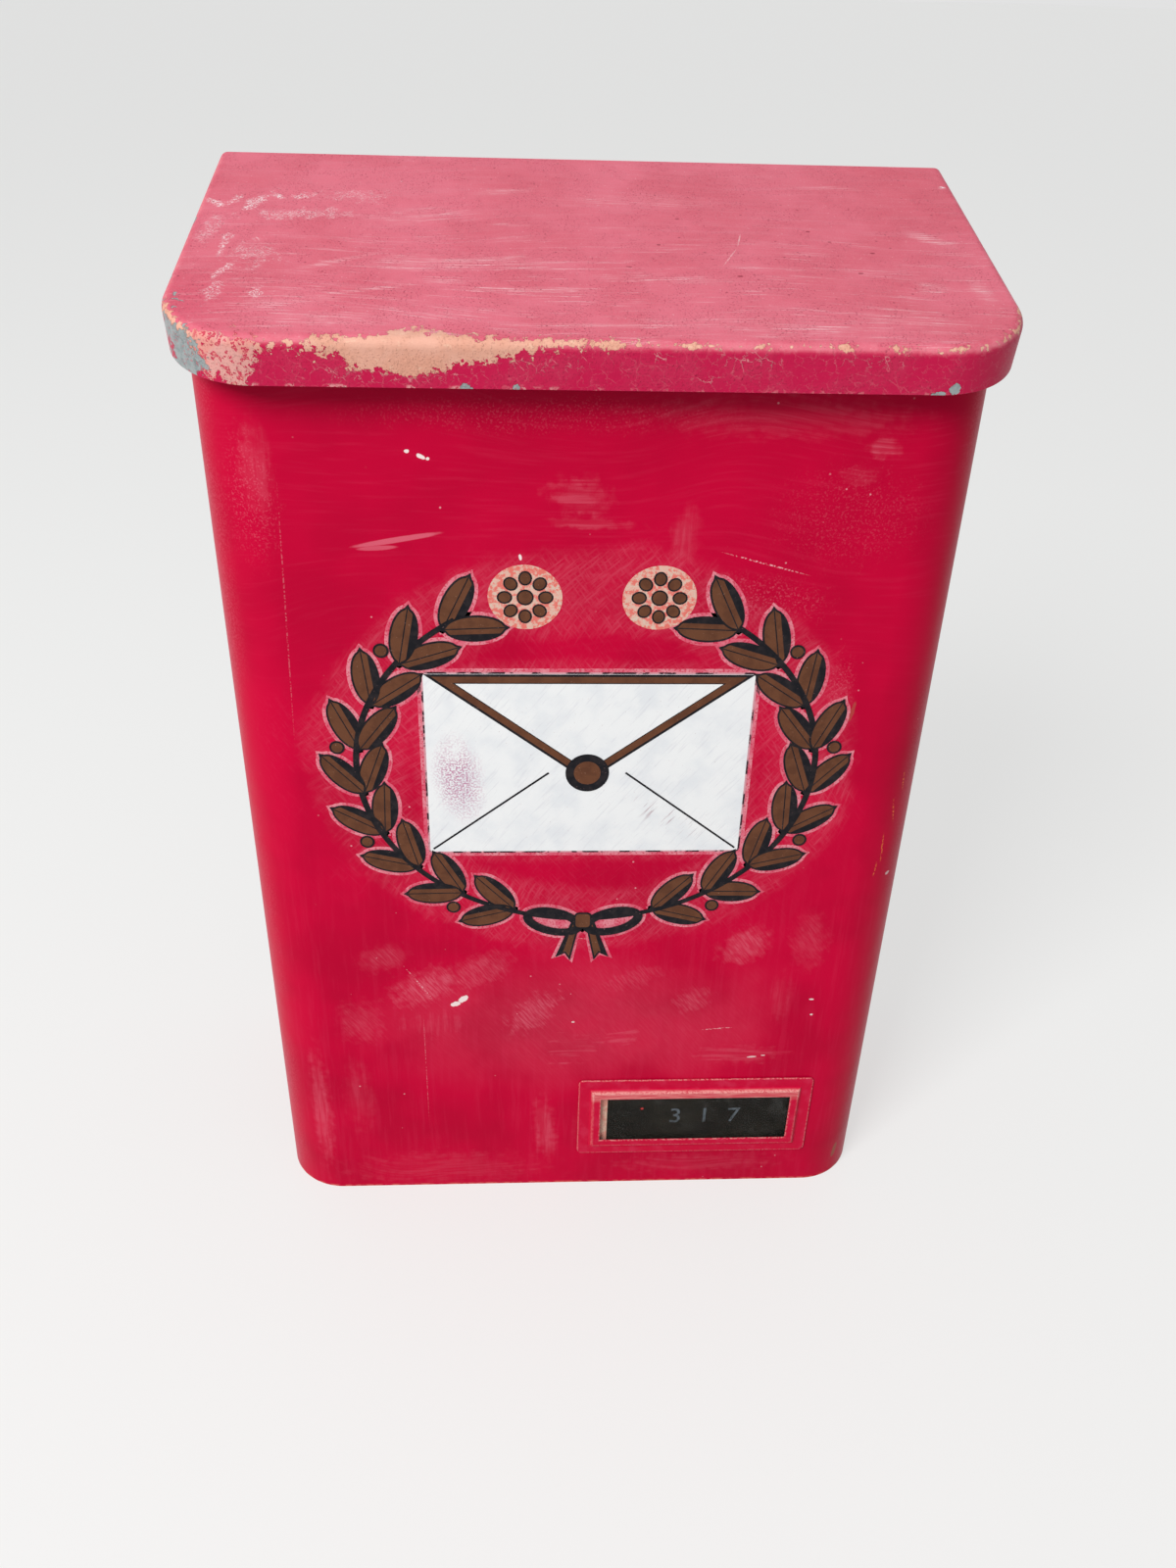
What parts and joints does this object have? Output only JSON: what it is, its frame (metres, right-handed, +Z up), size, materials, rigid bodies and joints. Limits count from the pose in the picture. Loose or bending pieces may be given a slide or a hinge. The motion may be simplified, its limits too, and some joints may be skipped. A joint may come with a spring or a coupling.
{
  "type": "weathered wall mailbox",
  "caption": "Tall wall mailbox of painted sheet steel with rounded front corners, a sloping hinged lid with a deep lip and a small name holder.",
  "frame": {"origin": "on the level it stands on, under the middle of the whole box", "axes": "+Z up, -Y towards the front with the name holder, +Y towards the wall, +X to the viewer's right"},
  "size_m": [0.2822, 0.147, 0.4372],
  "materials": {
    "body_paint": "brushed gloss enamel, scuffed and chipped",
    "back_paint": "worn satin enamel",
    "lid_paint": "sun-faded enamel, chalky and scratched",
    "zinc_steel": "dull zinc with paint traces",
    "rivet_steel": "zinc-plated, painted over",
    "clear_plastic": "clear, lightly scratched",
    "black_plastic": "worn satin"
  },
  "bodies": {
    "box": {"body_shell": "body_paint", "back_pan": "back_paint", "bottom_pan": "back_paint", "hinge_leaf_back": "zinc_steel", "hinge_pin": "zinc_steel", "name_frame": "body_paint", "name_pane": "clear_plastic", "name_strip": "black_plastic", "side_rivet_left_1": "rivet_steel", "side_rivet_left_2": "rivet_steel", "side_rivet_left_3": "rivet_steel", "side_rivet_right_1": "rivet_steel", "side_rivet_right_2": "rivet_steel", "side_rivet_right_3": "rivet_steel", "base_rivet_left_1": "rivet_steel", "base_rivet_left_2": "rivet_steel", "base_rivet_right_1": "rivet_steel", "base_rivet_right_2": "rivet_steel", "hinge_rivet_1": "rivet_steel", "hinge_rivet_2": "rivet_steel", "hinge_rivet_3": "rivet_steel", "hinge_rivet_4": "rivet_steel", "hinge_rivet_5": "rivet_steel"},
    "lid": {"lid": "lid_paint", "hinge_leaf_lid": "zinc_steel"}
  },
  "joints": [
    {"name": "lid_hinge", "type": "hinge", "parent": "box", "child": "lid", "pos_m": [0, 0.0696, 0.43313], "axis": [-1, 0, 0], "range_deg": [0, 103.5]}
  ]
}
